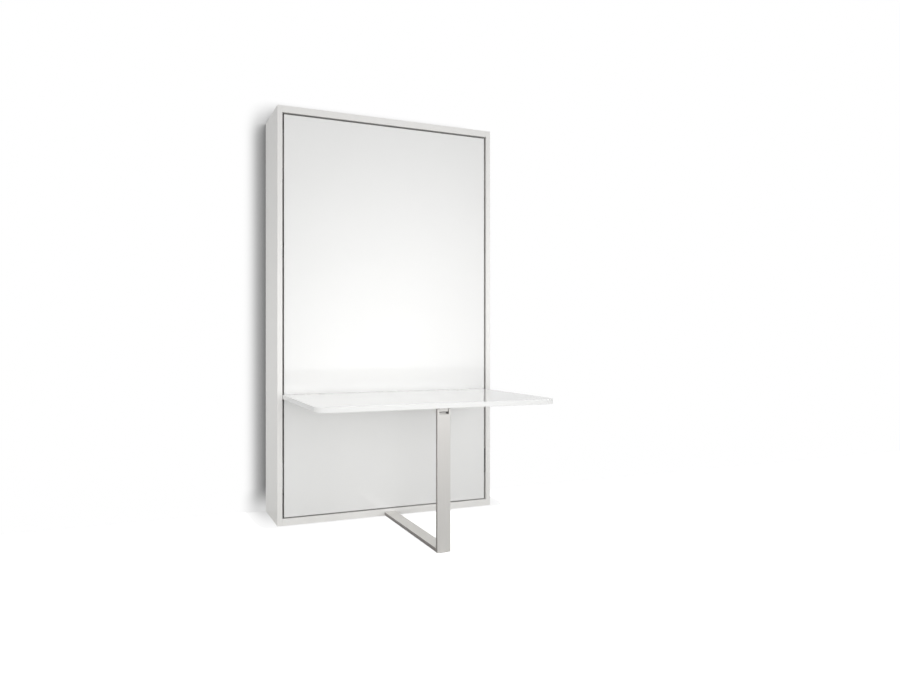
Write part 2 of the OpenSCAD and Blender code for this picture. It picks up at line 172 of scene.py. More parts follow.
# %% High-gloss white lacquer
def lacquer(name, white, cloudy, ground, film, film_roughness, peel):
    material, tree, surface, place = new_material(name)
    cloud = add_node(tree, "ShaderNodeTexNoise", {"Vector": place, "Scale": 2.2,
                                                  "Detail": 3.0})
    tint = add_node(tree, "ShaderNodeMix", {0: cloud.outputs["Fac"], 6: hex_colour(white),
                                            7: hex_colour(cloudy)}, data_type="RGBA")
    ripple = add_node(tree, "ShaderNodeTexNoise", {"Vector": place, "Scale": 1 / (4 * mm)})
    skin = add_node(tree, "ShaderNodeBump", {"Height": ripple.outputs["Fac"], "Strength": peel,
                                             "Distance": 0.02 * mm})
    tree.links.new(tint.outputs[2], surface.inputs["Base Color"])
    tree.links.new(skin.outputs["Normal"], surface.inputs["Normal"])
    surface.inputs["Roughness"].default_value = ground
    surface.inputs["IOR"].default_value = 1.5
    surface.inputs["Coat Weight"].default_value = film
    surface.inputs["Coat Roughness"].default_value = film_roughness
    return material

gloss_lacquer = lacquer("gloss_white_lacquer_on_mdf", "#F1F1F0", "#EDEDEC",
                        ground=0.4, film=1.0, film_roughness=0.03, peel=0.3)

# %% [markdown]
# The cabinet's boards carry the same white in a satin film. It is a little warmer and
# scatters the light more, so its outer side shows only broad, soft reflections.

# %% Satin white lacquer
satin_lacquer = lacquer("satin_white_lacquer_on_board", "#F3F2F0", "#EEEDEA",
                        ground=0.45, film=0.6, film_roughness=0.16, peel=0.6)

# %% [markdown]
# The desk's post, floor tube and hinges are steel, brushed along their length and plated in
# satin nickel, which is slightly warm. A brushed line is about 0.1 mm wide, too fine for any
# view here, so it is drawn 0.8 mm wide and up to 150 mm long. The lines vary the roughness and
# raise a weak bump, and the broad reflection that they spread is the shader's own. The narrow
# sides, which face left and right, are painted darker: a painted shade.

# %% Satin nickel on brushed steel
# The third colour is a painted shade, for the narrow sides that face left and right.
nickel, light_nickel, side_shade_nickel = "#DEDCD9", "#E9E7E4", "#A39E9B"

def brushed_steel(name, along, roughness):
    material, tree, surface, place = new_material(name)
    line_width, line_length = 0.8 * mm, 150 * mm
    stretch = [1 / (line_length if axis == along else line_width) for axis in "xyz"]
    run = add_node(tree, "ShaderNodeMapping", {"Vector": place, "Scale": stretch})
    line = add_node(tree, "ShaderNodeTexNoise", {"Vector": run.outputs[0], "Scale": 1.0,
                                                 "Detail": 2.0})
    tint = add_node(tree, "ShaderNodeMix", {0: line.outputs["Fac"], 6: hex_colour(nickel),
                                            7: hex_colour(light_nickel)}, data_type="RGBA")
    # Faces turned left or right take that darker colour: a painted shade.
    facing = add_node(tree, "ShaderNodeTexCoord").outputs["Normal"]
    parts = add_node(tree, "ShaderNodeSeparateXYZ", {0: facing})
    sideways = add_node(tree, "ShaderNodeMath", {0: parts.outputs[0]}, operation="ABSOLUTE")
    side_shade_mask = add_node(tree, "ShaderNodeMapRange", {"Value": sideways.outputs[0],
                                                   "From Min": 0.8, "From Max": 0.98})
    shown = add_node(tree, "ShaderNodeMix", {0: side_shade_mask.outputs[0], 6: tint.outputs[2],
                                             7: hex_colour(side_shade_nickel)},
                     data_type="RGBA")
    matt = add_node(tree, "ShaderNodeMapRange", {"Value": line.outputs["Fac"],
                                                 "To Min": roughness - 0.06,
                                                 "To Max": roughness + 0.06})
    ridge = add_node(tree, "ShaderNodeBump", {"Height": line.outputs["Fac"], "Strength": 0.15,
                                              "Distance": 0.02 * mm})
    tree.links.new(shown.outputs[2], surface.inputs["Base Color"])
    tree.links.new(matt.outputs[0], surface.inputs["Roughness"])
    tree.links.new(ridge.outputs["Normal"], surface.inputs["Normal"])
    surface.inputs["Metallic"].default_value = 1.0
    return material

upright_nickel = brushed_steel("satin_nickel_brushed_upright", "z", 0.36)
lying_nickel = brushed_steel("satin_nickel_brushed_front_to_back", "y", 0.36)
across_nickel = brushed_steel("satin_nickel_brushed_across", "x", 0.34)

# %% [markdown]
# Fittings inside are steel with a bright zinc plating. The plating grows in crystals, which
# show as a faint patchwork some 5 mm across. The pivot plates stand close behind the gap
# beside the panel, so theirs is a darker copy, a painted shade that doesn't show in the gap.

# %% Zinc plating
def zinc_plating(name, tone_a, tone_b):
    material, tree, surface, place = new_material(name)
    grain = add_node(tree, "ShaderNodeTexVoronoi", {"Vector": place, "Scale": 1 / (5 * mm)})
    tone = add_node(tree, "ShaderNodeMapRange", {"Value": grain.outputs["Color"],
                                                 "To Min": 0.3, "To Max": 0.42})
    tint = add_node(tree, "ShaderNodeMix", {0: grain.outputs["Color"], 6: hex_colour(tone_a),
                                            7: hex_colour(tone_b)}, data_type="RGBA")
    tree.links.new(tone.outputs[0], surface.inputs["Roughness"])
    tree.links.new(tint.outputs[2], surface.inputs["Base Color"])
    surface.inputs["Metallic"].default_value = 1.0
    return material

zinc = zinc_plating("bright_zinc_plated_steel", "#A9AEB2", "#B9BDC0")
# A darker copy of the same plating: a painted shade for the pivot plates.
gap_shade_zinc = zinc_plating("gap_shade_zinc_plated_steel", "#858586", "#919192")

# %% [markdown]
# The bed's tubes and legs are powder coated in light grey, and the desk's hinges in white, so
# that they don't stand out against the panel. Powder melts into a skin with a fine, even
# pimple about 1 mm across, and reflects only a dull sheen.

# %% Powder coat
def powder_coat(name, tone, shade):
    material, tree, surface, place = new_material(name)
    pimple = add_node(tree, "ShaderNodeTexNoise", {"Vector": place, "Scale": 1 / (1.2 * mm)})
    skin = add_node(tree, "ShaderNodeBump", {"Height": pimple.outputs["Fac"], "Strength": 0.35,
                                             "Distance": 0.1 * mm})
    patch = add_node(tree, "ShaderNodeTexNoise", {"Vector": place, "Scale": 14.0})
    tint = add_node(tree, "ShaderNodeMix", {0: patch.outputs["Fac"], 6: hex_colour(tone),
                                            7: hex_colour(shade)}, data_type="RGBA")
    tree.links.new(tint.outputs[2], surface.inputs["Base Color"])
    tree.links.new(skin.outputs["Normal"], surface.inputs["Normal"])
    surface.inputs["Roughness"].default_value = 0.5
    return material

grey_powder = powder_coat("light_grey_powder_coat_on_steel", "#D6D6D5", "#DEDEDD")
white_powder = powder_coat("white_powder_coat_on_steel", "#EFEFED", "#E9E9E7")

# %% [markdown]
# The slats are beech, sawn lengthwise and left clear. Beech is pinkish tan, with growth bands
# some 12 mm apart and short brown flecks, 3 mm long, all along the grain.

# %% Clear beech
def beech_wood():
    material, tree, surface, place = new_material("clear_beech")
    run = add_node(tree, "ShaderNodeMapping", {"Vector": place, "Scale": (6, 80, 80)})
    band = add_node(tree, "ShaderNodeTexNoise", {"Vector": run.outputs[0], "Scale": 1.0,
                                                 "Detail": 4.0, "Distortion": 0.6})
    short = add_node(tree, "ShaderNodeMapping", {"Vector": place, "Scale": (330, 1400, 1400)})
    fleck = add_node(tree, "ShaderNodeTexNoise", {"Vector": short.outputs[0], "Scale": 1.0})
    spot = add_node(tree, "ShaderNodeMapRange", {"Value": fleck.outputs["Fac"],
                                                 "From Min": 0.6, "From Max": 0.72})
    plank = add_node(tree, "ShaderNodeMix", {0: band.outputs["Fac"], 6: hex_colour("#CFA877"),
                                             7: hex_colour("#E0C096")}, data_type="RGBA")
    wood = add_node(tree, "ShaderNodeMix", {0: spot.outputs[0], 6: plank.outputs[2],
                                            7: hex_colour("#A9794B")}, data_type="RGBA")
    tree.links.new(wood.outputs[2], surface.inputs["Base Color"])
    surface.inputs["Roughness"].default_value = 0.55
    return material

beech = beech_wood()

# %% [markdown]
# The mattress cover is a white knitted ticking. Its loops sit in rows about 1.5 mm apart,
# drawn here 3 mm apart so that they show, and its fibres give a soft sheen at the edges.

# %% Knitted ticking, and its piping
def knit(name, tone, shade, pitch):
    material, tree, surface, place = new_material(name)
    rows = add_node(tree, "ShaderNodeMapping", {"Vector": place, "Scale": [1 / pitch] * 3})
    loop = add_node(tree, "ShaderNodeTexVoronoi", {"Vector": rows.outputs[0], "Scale": 1.0,
                                                   "Randomness": 0.35})
    # The loops' edges, where the bump sinks, are darker: a painted shade in the grooves.
    tint = add_node(tree, "ShaderNodeMix", {0: loop.outputs["Distance"], 6: hex_colour(tone),
                                            7: hex_colour(shade)}, data_type="RGBA")
    stitch = add_node(tree, "ShaderNodeBump", {"Height": loop.outputs["Distance"],
                                               "Strength": 0.4, "Distance": 0.3 * mm},
                      invert=True)
    tree.links.new(tint.outputs[2], surface.inputs["Base Color"])
    tree.links.new(stitch.outputs["Normal"], surface.inputs["Normal"])
    surface.inputs["Roughness"].default_value = 0.9
    surface.inputs["Sheen Weight"].default_value = 0.3
    return material

ticking = knit("white_knitted_ticking", "#EFEDE7", "#DDDAD2", 3 * mm)
piping_tape = knit("grey_woven_piping_tape", "#B9B7B2", "#A3A19C", 2 * mm)

# %% [markdown]
# The mattress straps are woven elastic, ribbed across the width every 1.5 mm.

# %% Woven elastic
def woven_elastic():
    material, tree, surface, place = new_material("charcoal_woven_elastic")
    rib = add_node(tree, "ShaderNodeTexWave", {"Vector": place, "Scale": 1 / (6 * mm),
                                               "Distortion": 0.4}, bands_direction="Z")
    # The ribs are lighter and the grooves between them darker: a painted shade.
    tint = add_node(tree, "ShaderNodeMix", {0: rib.outputs["Fac"], 6: hex_colour("#3F4246"),
                                            7: hex_colour("#5C6065")}, data_type="RGBA")
    ridge = add_node(tree, "ShaderNodeBump", {"Height": rib.outputs["Fac"], "Strength": 0.5,
                                              "Distance": 0.2 * mm})
    tree.links.new(tint.outputs[2], surface.inputs["Base Color"])
    tree.links.new(ridge.outputs["Normal"], surface.inputs["Normal"])
    surface.inputs["Roughness"].default_value = 0.85
    return material

elastic = woven_elastic()

# %% [markdown]
# Bushes and end caps are moulded nylon, and the glides, stops and shoes are rubber. Both are
# near black. A mould leaves a fine even texture, and rubber is duller than nylon.

# %% Moulded nylon and rubber
def moulded(name, tone, shade, roughness):
    material, tree, surface, place = new_material(name)
    grit = add_node(tree, "ShaderNodeTexNoise", {"Vector": place, "Scale": 1 / (1.5 * mm)})
    tint = add_node(tree, "ShaderNodeMix", {0: grit.outputs["Fac"], 6: hex_colour(tone),
                                            7: hex_colour(shade)}, data_type="RGBA")
    skin = add_node(tree, "ShaderNodeBump", {"Height": grit.outputs["Fac"], "Strength": 0.3,
                                             "Distance": 0.05 * mm})
    tree.links.new(tint.outputs[2], surface.inputs["Base Color"])
    tree.links.new(skin.outputs["Normal"], surface.inputs["Normal"])
    surface.inputs["Roughness"].default_value = roughness
    return material

nylon = moulded("black_moulded_nylon", "#26272A", "#303236", 0.45)
rubber = moulded("black_rubber", "#1D1E20", "#28292B", 0.8)

# %% [markdown]
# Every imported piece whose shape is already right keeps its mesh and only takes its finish.
# These are the large plain boards inside, and round pins and bars.

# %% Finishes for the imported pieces
finishes = {
    satin_lacquer: ["back_board"],
    zinc: ["plate_screws", "torsion_bar", "bed_leg_pins", "lug_screws"],
    white_powder: ["desk_hinge_pins"],
    across_nickel: ["post_pin", "corner_pin"],
    nylon: ["pivot_bushes"],
}
for finish, names in finishes.items():
    for name in names:
        mesh = frame["nodes"][name].data
        mesh.materials.clear()
        mesh.materials.append(finish)
print("packed pieces finished:", sum(len(names) for names in finishes.values()))

# %% [markdown]
# A finished piece gets its material, rides on the body that carries it and stands for its
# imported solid. Its rounded edges are smoothed, and a weighted normal keeps the broad faces
# flat next to them, as on a real board.

# %% Finishing a piece
def finish_piece(piece, finish, body, replaced, flat=True):
    only(piece)
    piece.data.materials.clear()
    piece.data.materials.append(finish)
    bpy.ops.object.shade_smooth_by_angle(angle=math.radians(35))
    if flat:
        bpy.ops.object.modifier_add(type="WEIGHTED_NORMAL")
        piece.modifiers[-1].keep_sharp = True
        bpy.ops.object.modifier_apply(modifier=piece.modifiers[-1].name)
    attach(piece, body)
    if replaced:
        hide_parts(*replaced)
    print(piece.name, "faces:", len(piece.data.polygons))

def soften(piece, radius, steps):
    """Rounds every edge of a block a little, with a bevel modifier."""
    only(piece)
    bpy.ops.object.modifier_add(type="BEVEL")
    bevel = piece.modifiers[-1]
    bevel.width, bevel.segments, bevel.limit_method = radius, steps, "ANGLE"
    bpy.ops.object.modifier_apply(modifier=bevel.name)

# %% [markdown]
# A fitting cut by a machine leaves it with its edges broken, and that thin rounding is what
# makes small steel and rubber parts look real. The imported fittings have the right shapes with
# sharp edges, so each one is copied, its loose triangles are merged and joined into flat
# faces, and then its edges are bevelled.

# %% Fittings with broken edges
def broken_edges(node, radius, finish):
    fresh()
    source = frame["nodes"][node]
    piece = bpy.data.objects.new("softened_" + node, source.data.copy())
    bpy.context.scene.collection.objects.link(piece)
    only(piece)
    bpy.ops.object.mode_set(mode="EDIT")
    bpy.ops.mesh.select_all(action="SELECT")
    bpy.ops.mesh.remove_doubles(threshold=mm / 100)
    bpy.ops.mesh.dissolve_limited(angle_limit=math.radians(1))
    fresh()
    soften(piece, radius, 2)
    finish_piece(piece, finish, body_of(source)[0], [node])

fittings = [
    (zinc, "zinc_steel", 0.6, ["torsion_clamp"]),
    (gap_shade_zinc, "zinc_steel", 0.6, ["pivot_plate_left", "pivot_plate_right"]),
    (grey_powder, "grey_steel", 0.6, ["bed_leg_brackets", "bed_leg_left", "bed_leg_right"]),
    (grey_powder, "grey_steel", 1.5, ["frame_tube_left", "frame_tube_right", "frame_tube_head",
                                      "frame_tube_foot", "frame_tube_middle"]),
    (white_powder, "white_steel", 0.4, ["panel_hinge_leaves", "desk_hinge_leaves"]),
    (across_nickel, "satin_steel", 0.4, ["post_lug", "post_corner_leaf", "floor_corner_leaf"]),
    (nylon, "nylon", 0.5, ["post_end_caps", "floor_tube_caps"]),
    (rubber, "rubber", 0.7, ["panel_stops", "post_glide", "floor_glides", "bed_shoe_left",
                             "bed_shoe_right"]),
    (satin_lacquer, "cabinet_lacquer", 1.0, ["wall_rail_upper", "wall_rail_lower"]),
]
for finish, slot, radius, names in fittings:
    for name in names:
        broken_edges(name, radius * mm, finish)

# %% [markdown]
# The cabinet is four boards, glued at the corners. Each has a banded edge that is rounded
# by 1 mm, which catches a thin line of light. A block with a fine bevel gives exactly that.

# %% Cabinet boards
for name in ("side_board_left", "side_board_right", "top_board", "base_board"):
    board = block("cabinet_" + name, *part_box(name))
    soften(board, 1.0 * mm, 3)
    finish_piece(board, satin_lacquer, "cabinet", [name])

# %% [markdown]
# The bed panel closes the cabinet. Its lacquered edges are rounded by 2 mm, and this
# rounding draws the pale rim along the dark gap round the panel.

# %% Bed panel
panel = block("gloss_bed_panel", *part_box("bed_panel"))
soften(panel, 2.0 * mm, 4)
finish_piece(panel, gloss_lacquer, "bed", ["bed_panel"])

# %% [markdown]
# The desk is one board with its two front corners cut to a 70 mm radius. It starts as a
# block, its two upright front edges are bevelled into arcs, and then its rims are rounded.
# The cuts for the hinges and the lug are taken out last, so their edges stay sharp.

# %% Desk board
desk_low, desk_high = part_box("desk_board")
corner_radius, rim_radius = 70 * mm, 2 * mm
desk = block("gloss_desk_board", desk_low, desk_high)
fronts = pick_edges(desk, lambda a, b: a.y < desk_low.y + mm and b.y < desk_low.y + mm
                    and abs(a.z - b.z) > 10 * mm)
bpy.ops.mesh.bevel(offset=corner_radius, offset_type="OFFSET", segments=32, affect="EDGES")
rims = pick_edges(desk, lambda a, b: abs(a.z - b.z) < mm / 10)
bpy.ops.mesh.bevel(offset=rim_radius, offset_type="OFFSET", segments=4, affect="EDGES")
print("front edges", fronts, "rim edges", rims)

# %% [markdown]
# A cut is made with a block or a round rod of the size of what sits in it, taken away by a
# boolean, as a router and a drill take it away.

# %% Cutting
def cut_away(piece, cutter):
    only(piece)
    bpy.ops.object.modifier_add(type="BOOLEAN")
    cut = piece.modifiers[-1]
    cut.operation, cut.solver, cut.object = "DIFFERENCE", "EXACT", cutter
    bpy.ops.object.modifier_apply(modifier=cut.name)
    bpy.data.objects.remove(cutter)

def cross_rod(radius, length, middle):
    """A round rod lying from left to right."""
    fresh()
    bpy.ops.mesh.primitive_cylinder_add(vertices=48, radius=radius, depth=length,
                                        location=middle, rotation=(0, math.pi / 2, 0))
    bpy.ops.object.transform_apply(location=True, rotation=True, scale=True)
    return bpy.context.object

# %% [markdown]
# The hinge leaves lie flush in shallow pockets along the desk's rear edge, which also clear
# the round knuckles, so a rod is taken away with each. The lug's pocket is underneath.

# %% Pockets in the desk
first_pin, last_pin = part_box("desk_hinge_pins")
pin_middle = (first_pin + last_pin) / 2
half_hinge, leaf_reach, leaf_sink = 45 * mm, 24 * mm, 3 * mm
knuckle_room, room_length = 4.2 * mm, 90.4 * mm
for x in (first_pin.x + half_hinge, 0, last_pin.x - half_hinge):
    cut_away(desk, block("pocket",
                         (x - half_hinge, pin_middle.y - leaf_reach, desk_high.z - leaf_sink),
                         (x + half_hinge, desk_high.y + mm, desk_high.z + mm)))
    cut_away(desk, cross_rod(knuckle_room, room_length, (x, pin_middle.y, pin_middle.z)))
lug_low, lug_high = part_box("post_lug")
cut_away(desk, block("pocket", (lug_low.x, lug_low.y, desk_low.z - mm),
                     (lug_high.x, lug_high.y, lug_high.z)))
finish_piece(desk, gloss_lacquer, "desk", ["desk_board"])

# %% [markdown]
# The post is a flat tube of 70 by 20 mm, rolled from 2 mm sheet, so its four long edges are
# rounded by the rolling. It is made as on a bench: a block with its long edges rounded, its
# two ends opened, and given a 2 mm wall.

# %% A flat tube
tube_wall, tube_rounding = 2 * mm, 2.5 * mm

def flat_tube(name, low, high, along):
    tube = block(name, low, high)
    pick_edges(tube, lambda a, b: abs(a[along] - b[along]) > 100 * mm)
    bpy.ops.mesh.bevel(offset=tube_rounding, segments=6, affect="EDGES")
    pick_faces(tube, lambda centre, normal: abs(normal[along]) > 0.9)
    bpy.ops.mesh.delete(type="FACE")
    only(tube)
    bpy.ops.object.modifier_add(type="SOLIDIFY")
    wall = tube.modifiers[-1]
    wall.thickness, wall.offset, wall.use_even_offset = tube_wall, -1, True
    bpy.ops.object.modifier_apply(modifier=wall.name)
    return tube

# %% [markdown]
# The post hangs by a pin on the lug under the desk. Its front wall is notched at the top, so
# that it can swing clear of the lug, and both its narrow sides are drilled for the pin.

# %% Desk post
post_low, post_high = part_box("support_post")
notch_half, notch_depth, notch_cut = 25 * mm, 26 * mm, 3 * mm
pin_radius, drill_length = 4 * mm, 80 * mm
post = flat_tube("satin_desk_post", post_low, post_high, 2)
cut_away(post, block("notch", (-notch_half, post_low.y - mm, post_high.z - notch_depth),
                     (notch_half, post_low.y + notch_cut, post_high.z + mm)))
pin_low, pin_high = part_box("post_pin")
cut_away(post, cross_rod(pin_radius, drill_length, (pin_low + pin_high) / 2))
finish_piece(post, upright_nickel, "post", ["support_post"])

# %% [markdown]
# The floor tube is the same flat tube, lying on its broad side from the post back to the
# cabinet, with a cap in each end.

# %% Floor tube
lying = flat_tube("satin_floor_tube", *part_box("floor_tube"), 1)
finish_piece(lying, lying_nickel, "floor_link", ["floor_tube"])

# %% [markdown]
# The mattress is out of sight while the bed is shut, and it is the first thing seen when the
# bed is down. It is a foam core in a quilted cover: the two broad sides are sewn in diamonds,
# the border runs round the edge, and a taped seam joins them. Cloth with air pressure inside,
# held still along its seams and its sewn lines, puffs up between them as wadding does. It
# starts as a grid, so that the diamonds' lines run through its points.

# %% Mattress body
soft_low, soft_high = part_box("mattress")
tuck = 10 * mm  # room for the puff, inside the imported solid
half_w = (soft_high.x - soft_low.x) / 2 - tuck
half_l = (soft_high.z - soft_low.z) / 2 - tuck
mid_z = (soft_high.z + soft_low.z) / 2
front, back = soft_low.y + tuck, soft_high.y - tuck
across, down, border_rows = 60, 100, 9
fresh()
bpy.ops.mesh.primitive_grid_add(x_subdivisions=across, y_subdivisions=down, size=1,
                                location=(0, front, mid_z), rotation=(math.pi / 2, 0, 0))
mattress = bpy.context.object
mattress.name = "quilted_mattress"
mattress.scale = (2 * half_w, 2 * half_l, 1)
bpy.ops.object.transform_apply(location=True, rotation=True, scale=True)
bpy.ops.object.mode_set(mode="EDIT")
bpy.ops.mesh.select_all(action="SELECT")
bpy.ops.mesh.extrude_region_move(TRANSFORM_OT_translate={"value": (0, back - front, 0)})
for row in range(1, border_rows):
    bpy.ops.mesh.select_all(action="SELECT")
    bpy.ops.mesh.bisect(plane_co=(0, front + (back - front) * row / border_rows, 0),
                        plane_no=(0, 1, 0))
bpy.ops.mesh.select_all(action="SELECT")
bpy.ops.mesh.normals_make_consistent(inside=False)
fresh()
print("mattress grid:", len(mattress.data.vertices), "points")

# %% [markdown]
# The corners of the cover are round, seen from above, with a radius of 60 mm. Each point
# near a corner slides inwards onto a circle, the outermost ones onto the round edge.

# %% Round corners
corner = 60 * mm
for point in mattress.data.vertices:
    dx = abs(point.co.x) - (half_w - corner)
    dz = abs(point.co.z - mid_z) - (half_l - corner)
    if dx > 0 and dz > 0:
        shrink = max(dx, dz) / math.hypot(dx, dz)
        point.co.x = math.copysign(half_w - corner + dx * shrink, point.co.x)
        point.co.z = mid_z + math.copysign(half_l - corner + dz * shrink, point.co.z - mid_z)
print("corners rounded to", round(corner / mm), "mm")

# %% [markdown]
# The quilting is sewn in diamonds, whose lines run through every eighth point of the grid,
# one way and the other. Those points, and the ones on the two edge seams, are held still.

# %% Sewn lines and seams
def cell(co):
    """Which grid lines a point of the flat sides was made on."""
    return (round((co.x + half_w) / (2 * half_w) * across),
            round((co.z - mid_z + half_l) / (2 * half_l) * down))

diamond = 8
sewn = []
for point in mattress.data.vertices:
    on_face = min(abs(point.co.y - front), abs(point.co.y - back)) < mm / 10
    i, j = cell(point.co)
    dx = abs(point.co.x) - (half_w - corner)
    dz = abs(point.co.z - mid_z) - (half_l - corner)
    rim = abs(point.co.x) > half_w - mm or abs(point.co.z - mid_z) > half_l - mm
    if dx > 0 and dz > 0:
        rim = math.hypot(dx, dz) > corner - mm
    on_line = (i + j) % diamond == 0 or (i - j) % diamond == diamond // 2
    if on_face and (rim or on_line):
        sewn.append(point.index)
print("sewn points:", len(sewn))

# %% [markdown]
# Wadding between two cloths pushes them apart wherever no thread holds them. Cloth with
# pressure inside and no gravity does the same in twenty short steps. No point may move
# further than the wadding is thick, and the result is applied, so no cloth is left on it.

# %% Puffing up the cover
def puff(piece, held, pressure, frames, most):
    start = [point.co.copy() for point in piece.data.vertices]
    group = piece.vertex_groups.new(name="sewn")
    group.add(held, 1.0, "REPLACE")
    only(piece)
    bpy.ops.object.modifier_add(type="CLOTH")
    cloth = piece.modifiers[-1]
    cloth.settings.vertex_group_mass = "sewn"
    cloth.settings.use_pressure = True
    cloth.settings.uniform_pressure_force = pressure
    cloth.settings.effector_weights.gravity = 0
    cloth.settings.quality = 4  # solver steps in each frame
    for number in range(1, frames + 1):
        bpy.context.scene.frame_set(number)
    bpy.ops.object.modifier_apply(modifier=cloth.name)
    bpy.context.scene.frame_set(1)
    moves = []
    for point, old in zip(piece.data.vertices, start):
        move = point.co - old
        if move.length > most:
            point.co = old + move.normalized() * most
        moves.append(move.length)
    print("moved at most", round(max(moves) / mm, 1), "mm, kept to", round(most / mm, 1))

puff(mattress, sewn, pressure=6.0, frames=20, most=9 * mm)
only(mattress)
bpy.ops.object.modifier_add(type="SUBSURF")
mattress.modifiers[-1].levels = mattress.modifiers[-1].render_levels = 1
bpy.ops.object.modifier_apply(modifier=mattress.modifiers[-1].name)
finish_piece(mattress, ticking, "bed", ["mattress"], flat=False)

# %% [markdown]
# A taped seam runs round each broad side of the mattress, 8 mm wide and raised. It follows
# the rounded outline, so it is a closed curve with a round section, turned into a mesh.

# %% Taped seams
tape_radius = 4 * mm

def seam(name, y):
    arc = [math.radians(a) for a in range(0, 91, 15)]
    outline = []
    for sx, sz, turn in ((1, 1, 0), (-1, 1, 1), (-1, -1, 2), (1, -1, 3)):
        for a in arc:
            angle = a + turn * math.pi / 2
            outline.append((sx * (half_w - corner) + corner * math.cos(angle), y,
                            mid_z + sz * (half_l - corner) + corner * math.sin(angle)))
    fresh()
    bpy.ops.curve.primitive_bezier_circle_add(radius=1)
    loop = bpy.context.object
    loop.name = name
    loop.data.splines.clear()
    spline = loop.data.splines.new("POLY")
    spline.points.add(len(outline) - 1)
    for point, place in zip(spline.points, outline):
        point.co = (*place, 1)
    spline.use_cyclic_u = True
    loop.data.dimensions = "3D"
    loop.data.bevel_depth = tape_radius
    loop.data.bevel_resolution = 3
    bpy.ops.object.convert(target="MESH")
    return bpy.context.object

for name, y in (("mattress_seam_front", front), ("mattress_seam_back", back)):
    tape = seam(name, y)
    finish_piece(tape, piping_tape, "bed", [], flat=False)

# %% [markdown]
# Fourteen beech slats lie across the frame under the mattress. A slat is 62 by 10 mm with its
# edges rounded, and each end sits in a nylon cap. One slat and its two caps are made, and the
# others are copies set at an even spacing, each with its own mesh.

# %% Slats and their caps
slat_low, slat_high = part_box("slats")
slat_count, slat_width, cap_length, cap_lap = 14, 62 * mm, 38 * mm, 4 * mm
spacing = (slat_high.z - slat_low.z - slat_width) / (slat_count - 1)

def row_of_copies(piece, count, step):
    """Copies a piece along z, and joins the copies with it."""
    copies = [piece]
    for number in range(1, count):
        twin = bpy.data.objects.new(piece.name, piece.data.copy())
        bpy.context.scene.collection.objects.link(twin)
        twin.location.z = number * step
        copies.append(twin)
    only(piece)
    for twin in copies:
        twin.select_set(True)
    bpy.ops.object.transform_apply(location=True, rotation=True, scale=True)
    bpy.ops.object.join()
    return piece

slat = block("beech_slats", (slat_low.x + cap_length, slat_low.y + mm, slat_low.z + mm),
             (slat_high.x - cap_length, slat_high.y - mm, slat_low.z + slat_width - mm))
soften(slat, 2.5 * mm, 3)
finish_piece(row_of_copies(slat, slat_count, spacing), beech, "bed", ["slats"])
for side, x in (("left", slat_low.x), ("right", slat_high.x - cap_length - cap_lap)):
    cap = block("slat_caps_" + side, (x, slat_low.y, slat_low.z),
                (x + cap_length + cap_lap, slat_high.y, slat_low.z + slat_width))
    soften(cap, 2 * mm, 3)
    finish_piece(row_of_copies(cap, slat_count, spacing), nylon, "bed", [])

# %% [markdown]
# Two elastic straps hold the bedding while the bed stands upright. Each is a flat band that
# runs over the mattress and down both its sides, and turns in to hook on the frame. Its way
# is a row of points, with a round bend at each side of the mattress.

# %% The straps' way
strap_low, strap_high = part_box("mattress_straps")
band, bend = 1.5 * mm, 9 * mm
strap_width = 40 * mm
hook_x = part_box("frame_tube_right")[1].x

def strap_way():
    """Points along the middle of the band, from one hook to the other."""
    x, near, far = strap_high.x - band / 2, strap_low.y + band / 2, strap_high.y - band / 2
    turn = [math.radians(15 * step) for step in range(7)]
    right = [(hook_x, near)]
    right += [(x - bend + bend * math.sin(a), near + bend - bend * math.cos(a)) for a in turn]
    right += [(x - bend + bend * math.cos(a), far - bend + bend * math.sin(a)) for a in turn]
    return right + [(-px, py) for px, py in reversed(right)]

way = strap_way()
print("strap length:", round(sum(math.dist(a, b) for a, b in zip(way, way[1:])) / mm), "mm")

# %% [markdown]
# The band is drawn as a strip, pulled out edge by edge along that way, and then given its
# thickness.

# %% Mattress straps
def upright_sheet(name, x0, x1, y, z0, z1):
    """A flat sheet that faces the front."""
    fresh()
    bpy.ops.mesh.primitive_plane_add(size=1, rotation=(math.pi / 2, 0, 0),
                                     location=((x0 + x1) / 2, y, (z0 + z1) / 2))
    piece = bpy.context.object
    piece.name = name
    piece.scale = (x1 - x0, z1 - z0, 1)
    bpy.ops.object.transform_apply(location=True, rotation=True, scale=True)
    return piece

def strap(name, bottom):
    (x0, y0), (x1, _) = way[:2]
    piece = upright_sheet(name, x0, x1, y0, bottom, bottom + strap_width)
    for (ax, ay), (bx, by) in zip(way[1:], way[2:]):
        pick_edges(piece, lambda a, b: all(math.hypot(p.x - ax, p.y - ay) < mm / 50
                                           for p in (a, b)))
        step = {"value": (bx - ax, by - ay, 0)}
        bpy.ops.mesh.extrude_region_move(TRANSFORM_OT_translate=step)
    only(piece)
    bpy.ops.object.modifier_add(type="SOLIDIFY")
    sheet = piece.modifiers[-1]
    sheet.thickness, sheet.offset, sheet.use_even_offset = band, 0, True
    bpy.ops.object.modifier_apply(modifier=sheet.name)
    pick_faces(piece, lambda centre, normal: True)
    bpy.ops.mesh.normals_make_consistent(inside=False)
    soften(piece, 0.4 * mm, 2)
    return piece

mattress_run = soft_high.z - soft_low.z
strap_floors = [soft_low.z + share * mattress_run for share in (0.3, 0.72)]
straps = [strap("elastic_strap_%d" % n, z) for n, z in enumerate(strap_floors)]
for piece, replaced in zip(straps, (["mattress_straps"], [])):
    finish_piece(piece, elastic, "bed", replaced, flat=False)

# %% [markdown]
# Each strap is tightened by a slide, a flat nylon frame with a bar across it. It is a plate
# with two windows in it, which the band passes through.

